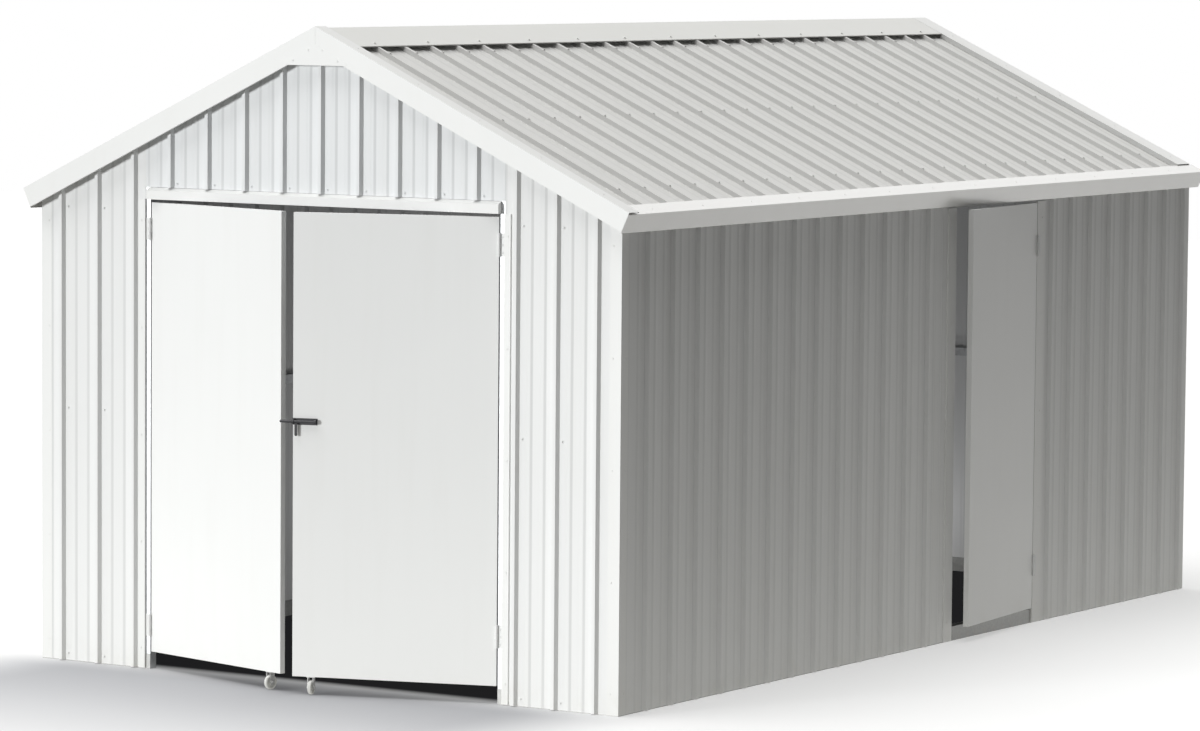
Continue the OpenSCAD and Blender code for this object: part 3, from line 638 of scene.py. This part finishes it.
def hingeScrews():  # three in each fixed flap, which lies in the plane of the shut leaf
    places = []
    for word, across in (("left", "frontFlap"), ("right", "frontFlap"), ("side", "sideFlap")):
        leaf = leaves[word]
        low, high = (corner.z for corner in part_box(word + "_hinge_flaps"))
        outward = -Vector((*leaf["back"], 0))
        seat = leaf["origin"] + Vector((*leaf["shut"], 0)) * hinges[across] - outward * hinges["flapFace"]
        for middle in (low + hinges["half"], high - hinges["half"]):
            places += [(seat + Vector((0, 0, middle + z)), outward) for z in hinges["screws"]]
    return places


placeHeads("panScrew", hingeScrews(), "hingeScrews", "building", hingeCoat)

boltPlate = {"height": 1.152, "face": 0.005, "rivets": (0.808, 0.866), "spread": 0.0095}
plateRivets = [(onLeaf("right", along, boltPlate["face"], boltPlate["height"] + z),
                -leaves["right"]["inward"])
               for along in boltPlate["rivets"] for z in (-boltPlate["spread"], boltPlate["spread"])]
placeHeads("rivet", plateRivets, "boltPlateRivets", "right_door", boltBlack)

casters = {"inset": 0.080, "middle": 0.020, "height": 0.031, "forkHalf": 0.013}
for word in ("left", "right"):
    leaf = leaves[word]
    nuts = [(onLeaf(word, leaf["free"] - casters["inset"] + end * casters["forkHalf"], casters["middle"],
                    casters["height"]), leaf["along"] * end) for end in (-1, 1)]
    placeHeads("axleNut", nuts, word + "AxleNuts", leaf["body"], hardwareZinc)
print("fixed the leaves' hardware")

# fixings of the frame
framing = {
    "anchor": (1.4778, 2.310, 0.0016), "plateFace": 1.4562, "plateScrew": 1.996, "trackScrew": 0.045,
    "cornerPost": 2.5878, "sidePosts": (0.1992, 1.0258), "pairHalf": 0.01,
    "rafters": (-2.6094, -0.8698, 0.8698, 2.6094), "purlins": (0.130, 0.865, 1.575),
    "flangeMiddle": 0.022, "flangeUnder": -0.042,
}
anchorPlaces = [((x * framing["anchor"][0], y * framing["anchor"][1], framing["anchor"][2]), (0, 0, 1))
                for x in (-1, 1) for y in (-1, 1)]
placeHeads("anchorBolt", anchorPlaces, "anchorBolts", "building", hardwareZinc)


def frameScrews():
    face = framing["plateFace"]
    half = framing["pairHalf"]
    places = []
    for side in (-1, 1):
        posts = [-framing["cornerPost"], framing["cornerPost"]]
        if side > 0:
            posts += framing["sidePosts"]
        places += [((side * face, y + step, framing["plateScrew"]), (-side, 0, 0))
                   for y in posts for step in (-half, half)]
        down = tuple(-part for part in upFrom(side))
        for y in framing["rafters"]:
            middle = y - math.copysign(framing["flangeMiddle"], y)
            places += [(onSlope(side, along, middle, framing["flangeUnder"]), down)
                       for along in framing["purlins"]]
    places += [((face, y, framing["trackScrew"]), (-1, 0, 0)) for y in framing["sidePosts"]]
    return places


placeHeads("sheetScrew", frameScrews(), "frameScrews", "building", frameZinc)
print("fixed the frame")

for pattern in patterns.values():
    bpy.data.objects.remove(pattern)

# closed ends of the flashing over the front doorway
headEnds = {"thick": 0.0008, "rise": 0.013, "edge": 0.3}
headLow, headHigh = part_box("door_head")


def makeHeadEnd(side):
    thick = headEnds["thick"]
    x = side * (headHigh.x - thick / 2)
    out = -headLow.y - halfLength - thick  # from the wall to the inside of the face
    middle = -halfLength - out / 2
    faceTop = headHigh.z - headEnds["rise"] - thick
    clearSelection()
    bpy.ops.mesh.primitive_cube_add(size=1.0, location=(x, middle, (headLow.z + thick + faceTop) / 2))
    bpy.ops.transform.resize(value=(thick, out, faceTop - headLow.z - thick))
    bpy.ops.object.transform_apply(location=True, rotation=False, scale=True)
    bpy.ops.object.mode_set(mode="EDIT")
    mesh = bmesh.from_edit_mesh(bpy.context.object.data)
    bpy.ops.mesh.select_all(action="DESELECT")
    bpy.ops.mesh.select_mode(type="VERT")
    for corner in mesh.verts:
        corner.select_set(corner.co.z > faceTop - thick and corner.co.y > middle)
    bmesh.update_edit_mesh(bpy.context.object.data)
    bpy.ops.transform.translate(value=(0, 0, headEnds["rise"]))
    bpy.ops.object.mode_set(mode="OBJECT")
    return bpy.context.object


ends = [makeHeadEnd(side) for side in (-1, 1)]
clearSelection()
for end in ends:
    end.select_set(True)
bpy.ops.object.join()
bpy.ops.object.modifier_add(type="BEVEL")
bpy.context.object.modifiers[0].width = headEnds["thick"] * headEnds["edge"]
bpy.ops.object.modifier_apply(modifier=bpy.context.object.modifiers[0].name)
headEnd = bpy.context.object
headEnd.name = "doorHeadEnds"
headEnd.data.materials.append(trimCoat)
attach(headEnd, "building")

floorLook = {
    "size": 60.0, "under": 0.0005,
    "pale": (0.585, 0.585, 0.585),  # lit by the lamps, so it holds the shadow
    "glow": (0.43, 0.43, 0.43),
    "frontShadowTone": (0.405, 0.408, 0.425), "frontShadowGlow": (0.035, 0.036, 0.040),  # painted shadow: a dimmer tone and glow on the floor before the doors
    "frontReach": 3.0, "frontMiddle": -0.1, "frontHalf": (1.1, 1.9), "frontEdge": (0.2, 0.3),
    "bounce": (0.60, 0.594, 0.562), "farBounce": (0.14, 0.139, 0.132),  # the light it throws on the walls
    "bounceReach": 5.0,
    "dark": (0.010, 0.010, 0.009), "darkGlow": (0.012, 0.012, 0.013),  # the floor under the roof
    "insideHalf": (1.48, 2.59), "insideEdge": 0.01, "insideBlend": 0.12,
}


def makeFloor():
    clearSelection()
    bpy.ops.mesh.primitive_plane_add(size=floorLook["size"], location=(0, 0, 0))
    floor = bpy.context.object
    floor.name = "floor"
    for corner in floor.data.vertices:
        corner.co.z = -floorLook["under"]
    paint = Paint("floorPaper")
    rays = [paint.add("ShaderNodeLightPath", None, None, "Is " + kind + " Ray")
            for kind in ("Camera", "Glossy", "Transmission")]
    seen = rays[0] + rays[1] + rays[2]
    across = abs(paint.axis("X"))
    along = paint.axis("Y")
    halfX, halfY = floorLook["insideHalf"]
    soft = floorLook["insideBlend"]
    edge = floorLook["insideEdge"]
    inside = ((1.0 - across.smooth(halfX, halfX + edge)) * along.smooth(-halfY, -halfY + soft)
              * (1.0 - along.smooth(halfY, halfY + edge)))
    beyondX = (across - halfWidth).atLeast(0.0)
    beyondY = (abs(along) - halfLength).atLeast(0.0)
    away = (beyondX * beyondX + beyondY * beyondY).root()
    fade = away.smooth(0.0, floorLook["bounceReach"])
    bounce = paint.blend(fade, floorLook["bounce"], floorLook["farBounce"])
    before, behind = floorLook["frontEdge"]
    # a painted shadow on the floor before the doors, fading out over frontReach and at its sides
    shade = 1.0 - away.smooth(0.0, floorLook["frontReach"])
    shade = shade * (1.0 - along.smooth(-halfLength - before, -halfLength + behind))
    shade = shade * (1.0 - abs(paint.axis("X") - floorLook["frontMiddle"]).smooth(*floorLook["frontHalf"]))
    glow = paint.blend(shade, floorLook["glow"], floorLook["frontShadowGlow"])
    glow = paint.blend(seen, bounce, glow)
    tone = paint.blend(shade, floorLook["pale"], floorLook["frontShadowTone"])
    tone = paint.blend(seen, (0.0, 0.0, 0.0), tone)
    paint.finish({
        "Base Color": paint.blend(inside, tone, floorLook["dark"]),
        "Emission Color": paint.blend(inside, glow, floorLook["darkGlow"]), "Emission Strength": 1.0,
        "Roughness": 1.0, "Specular IOR Level": 0.0})
    paint.material.cycles.emission_sampling = "NONE"
    floor.data.materials.append(paint.material)


lighting = {
    "sky": 0.06, "background": 1.0,  # background: what the camera and mirror-like rays see
    "high": {"from": (-0.25, -0.10, 0.96), "energy": 3.13, "angle": 60.0, "colour": (1.0, 1.0, 0.985)},
    "low": {"from": (-0.438, -0.899, 0.07), "energy": 1.93, "angle": 10.0, "colour": (0.985, 1.0, 1.0)},
    "insideMiddle": {"place": (0.0, 0.2, 0.4), "power": 14.0, "size": 0.3},
    "insideRear": {"place": (-0.05, 2.0, 0.25), "power": 3.3, "size": 0.1},
}


def makeWorld():
    world = bpy.data.worlds.new("studio")
    bpy.context.scene.world = world
    world.use_nodes = True
    tree = world.node_tree
    tree.nodes.clear()
    output = tree.nodes.new("ShaderNodeOutputWorld")
    path = tree.nodes.new("ShaderNodeLightPath")
    behind = None
    for kind in ("Camera", "Glossy", "Transmission"):
        ray = path.outputs["Is " + kind + " Ray"]
        if behind is None:
            behind = ray
            continue
        total = tree.nodes.new("ShaderNodeMath")
        total.operation = "ADD"
        tree.links.new(behind, total.inputs[0])
        tree.links.new(ray, total.inputs[1])
        behind = total.outputs[0]
    mix = tree.nodes.new("ShaderNodeMixShader")
    tree.links.new(behind, mix.inputs[0])
    for number, strength in ((1, lighting["sky"]), (2, lighting["background"])):
        background = tree.nodes.new("ShaderNodeBackground")
        background.inputs["Color"].default_value = (1.0, 1.0, 1.0, 1.0)
        background.inputs["Strength"].default_value = strength
        tree.links.new(background.outputs[0], mix.inputs[number])
    tree.links.new(mix.outputs[0], output.inputs["Surface"])


def makeSun(name, look):
    lamp = bpy.data.lights.new(name, "SUN")
    lamp.energy = look["energy"]
    lamp.angle = math.radians(look["angle"])
    lamp.color = look["colour"]
    sun = bpy.data.objects.new(name, lamp)
    sun.matrix_world = turnTo(look["from"])
    bpy.context.scene.collection.objects.link(sun)


def makeInsideGlow(name):  # a fill lamp, there to lighten what shows through the gaps
    look = lighting[name]
    lamp = bpy.data.lights.new(name, "POINT")
    lamp.shadow_soft_size = look["size"]
    lamp.energy = look["power"]
    glow = bpy.data.objects.new(name, lamp)
    glow.matrix_world = Matrix.Translation(look["place"])
    bpy.context.scene.collection.objects.link(glow)


view = {
    "place": (12.66, -20.315, 3.16), "azimuth": 32.459, "down": 4.69, "roll": 0.46,
    "lens": 154.7, "sensor": 36.0, "far": 200.0,
}


def makeCamera():
    turn = math.radians(view["azimuth"])
    down = math.radians(view["down"])
    roll = math.radians(view["roll"])
    ahead = Vector((-math.sin(turn) * math.cos(down), math.cos(turn) * math.cos(down), -math.sin(down)))
    flatRight = Vector((math.cos(turn), math.sin(turn), 0))
    flatUp = flatRight.cross(ahead)
    right = flatRight * math.cos(roll) + flatUp * math.sin(roll)
    up = flatUp * math.cos(roll) - flatRight * math.sin(roll)
    lens = bpy.data.cameras.new("camera")
    lens.lens = view["lens"]
    lens.sensor_width = view["sensor"]
    lens.clip_end = view["far"]
    camera = bpy.data.objects.new("camera", lens)
    turnMatrix = Matrix((right, up, -ahead)).transposed().to_4x4()
    camera.matrix_world = Matrix.Translation(view["place"]) @ turnMatrix
    bpy.context.scene.collection.objects.link(camera)
    bpy.context.scene.camera = camera


makeFloor()
makeWorld()
makeSun("highLight", lighting["high"])
makeSun("lowLight", lighting["low"])
makeInsideGlow("insideMiddle")
makeInsideGlow("insideRear")
makeCamera()
bpy.context.scene.view_settings.view_transform = "Standard"
print("lit the scene")
